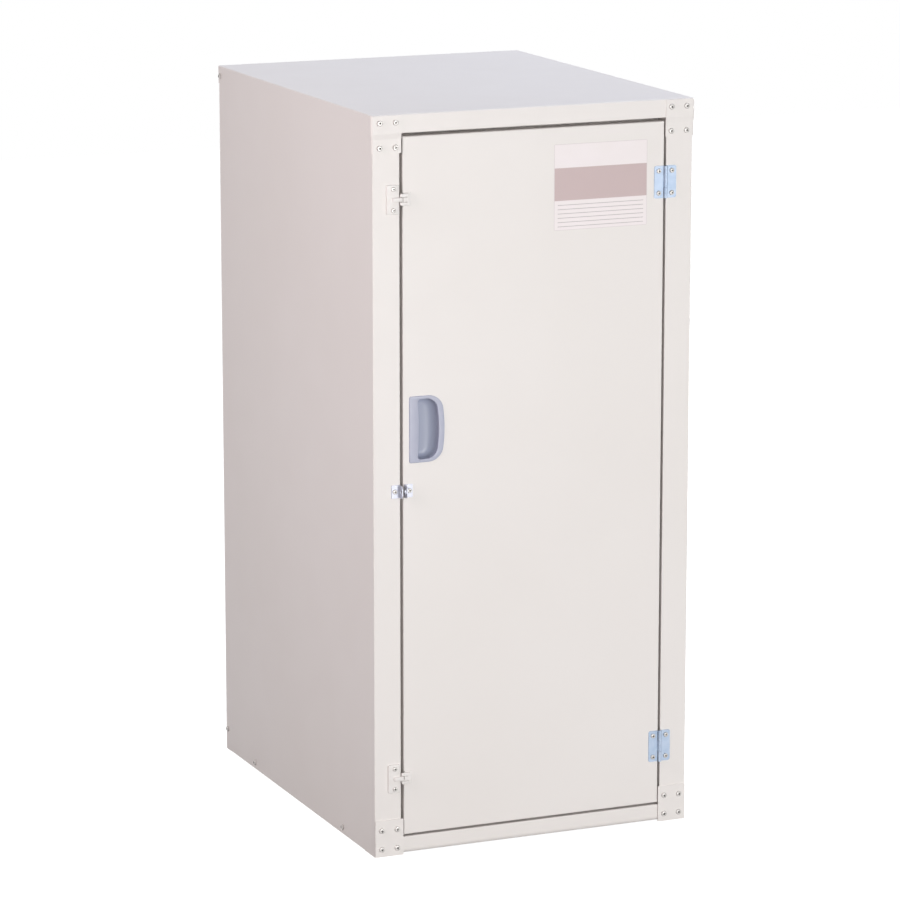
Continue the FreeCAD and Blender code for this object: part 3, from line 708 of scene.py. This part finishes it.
# Painted shade: a dark, mottled material for the cross recess, where shade falls on a real screw.
recess_shade_finish, shader, tree = finish("painted_shade_in_recess", recess_painted_shade, roughness=0.7)
mottle = grain(tree, size=0.0008, detail=3)
tint_by(tree, shader, mottle, low=0.35, high=0.70, colours=(recess_painted_shade, recess_painted_shade_grey))
bump_by(tree, shader, grain(tree, size=0.0004, detail=2), height=0.00003, strength=0.5)


def faces_down(face):
    """Whether a face looks straight down."""
    return face.normal.z < -0.9


def pan_head_screw(head_d, head_h, shank_d, length):
    """One screw along Z with its seat at 0, to be copied."""
    crown = head_h * 0.72
    tip = length * 0.1
    tip_taper = 0.7
    cross_span = head_d * 0.64
    cross_width = head_d * 0.20
    cross_height = head_h * 1.3
    cross_taper = 0.45
    wall_reach = head_d * 0.34
    wall_foot = head_h * 0.2
    floor_reach = head_d * 0.3
    floor_top = head_h * 0.5
    bpy.ops.object.select_all(action="DESELECT")
    bpy.ops.mesh.primitive_cylinder_add(
        vertices=32, radius=head_d / 2, depth=head_h, location=(0, 0, head_h / 2)
    )
    screw = bpy.context.object
    bpy.ops.object.transform_apply(location=True)
    bpy.ops.object.mode_set(mode="EDIT")
    pick(screw.data, "EDGE", lambda e: all(v.co.z > head_h - close for v in e.verts))
    bpy.ops.mesh.bevel(offset=crown, segments=6, affect="EDGES", profile=0.55)
    pick(screw.data, "FACE", faces_down)
    bpy.ops.mesh.inset(thickness=(head_d - shank_d) / 2)
    bpy.ops.mesh.extrude_region_move(TRANSFORM_OT_translate={"value": (0, 0, tip - length)})
    bpy.ops.mesh.extrude_region_move(TRANSFORM_OT_translate={"value": (0, 0, -tip)})
    bpy.ops.transform.resize(value=(tip_taper, tip_taper, 1))
    bpy.ops.object.mode_set(mode="OBJECT")
    for quarter in (0, math.radians(90)):
        bpy.ops.mesh.primitive_cube_add(size=1, location=(0, 0, head_h), rotation=(0, 0, quarter))
        cross = bpy.context.object
        cross.scale = (cross_span, cross_width, cross_height)
        bpy.ops.object.transform_apply(location=True, rotation=True, scale=True)
        bpy.ops.object.mode_set(mode="EDIT")
        pick(cross.data, "FACE", faces_down)
        bpy.ops.transform.resize(value=(cross_taper, cross_taper, 1))
        bpy.ops.object.mode_set(mode="OBJECT")
        combine(screw, cross, "DIFFERENCE")
    bpy.ops.object.shade_smooth_by_angle(angle=math.radians(32))
    screw.data.materials.append(plated)
    screw.data.materials.append(recess_shade_finish)
    # Painted shade: the faces deep in the cross recess take the dark second material.
    for face in screw.data.polygons:
        x, y, z = face.center
        is_floor = face.normal.z > 0.5
        if is_floor:
            in_recess = z < floor_top and max(abs(x), abs(y)) < floor_reach
        else:
            in_recess = z > wall_foot and math.hypot(x, y) < wall_reach
        if in_recess:
            face.material_index = 1
    return screw


def seats(node, head_h):
    """Where the screws of a CAD node have their seats, and which way each points outwards."""
    shape = bmesh.new()
    shape.from_mesh(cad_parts[node].data)
    bmesh.ops.remove_doubles(shape, verts=shape.verts, dist=1e-6)
    found = []
    unseen = set(shape.verts)
    while unseen:
        screw = set()
        reached = [unseen.pop()]
        while reached:
            vert = reached.pop()
            screw.add(vert)
            for edge in vert.link_edges:
                other = edge.other_vert(vert)
                if other in unseen:
                    unseen.remove(other)
                    reached.append(other)
        low = Vector([min(v.co[i] for v in screw) for i in range(3)])
        high = Vector([max(v.co[i] for v in screw) for i in range(3)])
        spans = high - low
        axis = max(range(3), key=lambda i: spans[i])
        middle = (low + high) / 2
        faces_front = axis == 1
        side = -1 if faces_front or middle.x < 0 else 1
        top = low[axis] if side < 0 else high[axis]
        seat = middle.copy()
        seat[axis] = top - side * head_h
        out = Vector((0, 0, 0))
        out[axis] = side
        found.append((seat, out))
    shape.free()
    return sorted(found, key=lambda s: tuple(round(c, 4) for c in s[0]))


def fit_screws(node, body, pattern, head_h):
    """Copies of the pattern on the seats of a CAD node, joined into one piece in its place."""
    first_turn = 17
    turn_step = 41
    quarter_turn = 90
    copies = []
    for number, (seat, out) in enumerate(seats(node, head_h)):
        copy = pattern.copy()
        copy.data = pattern.data.copy()
        scene.collection.objects.link(copy)
        aim = Vector((0, 0, 1)).rotation_difference(out).to_matrix().to_4x4()
        turned = first_turn + turn_step * number % quarter_turn
        spin = Matrix.Rotation(math.radians(turned), 4, "Z")
        copy.data.transform(Matrix.Translation(seat) @ aim @ spin)
        copies.append(copy)
    work_on(copies[0])
    for copy in copies:
        copy.select_set(True)
    bpy.ops.object.join()
    joined = bpy.context.object
    joined.name = node + "_turned"
    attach(joined, body)
    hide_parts(node)


large = pan_head_screw(large_head, large_height, shank_d=0.005, length=0.010)
fit_screws("cabinet_screws", "cabinet", large, large_height)
small = pan_head_screw(small_head, small_height, shank_d=0.004, length=0.008)
fit_screws("frame_fitting_screws", "cabinet", small, small_height)
fit_screws("door_fitting_screws", "door", small, small_height)
bpy.data.objects.remove(large)
bpy.data.objects.remove(small)
